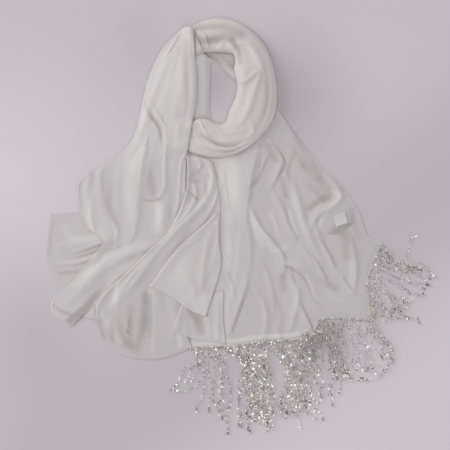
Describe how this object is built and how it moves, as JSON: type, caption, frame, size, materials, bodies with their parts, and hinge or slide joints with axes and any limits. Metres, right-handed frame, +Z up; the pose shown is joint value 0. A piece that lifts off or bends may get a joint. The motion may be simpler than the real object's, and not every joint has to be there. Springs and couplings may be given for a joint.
{
  "type": "hijab shawl",
  "caption": "Long sheer shawl laid flat as a hijab, wound into a neck loop, with a plain hemmed end and a bead-fringed end.",
  "frame": {"origin": "centre of the laid-out shawl's outline, on the surface it lies on", "axes": "+Z up from the surface, +Y from the fringe towards the neck loop, +X towards the beaded end's side"},
  "size_m": [0.7775, 0.828, 0.0362],
  "materials": {
    "chiffon": "white chiffon, slightly see-through, soft matt weave",
    "chiffon_folded": "several layers of white chiffon gathered together",
    "glass_beads": "silver-lined clear glass beads, bright and polished",
    "label_satin": "plain white satin tape"
  },
  "bodies": {
    "root": {"left_corner": "chiffon", "inner_turn": "chiffon", "right_tail": "chiffon", "neck_turn": "chiffon_folded", "left_tail": "chiffon", "centre_fall": "chiffon", "centre_flap": "chiffon", "point_flap": "chiffon", "label": "label_satin", "fringe_front": "glass_beads", "fringe_corner": "glass_beads", "fringe_side": "glass_beads"}
  },
  "joints": []
}
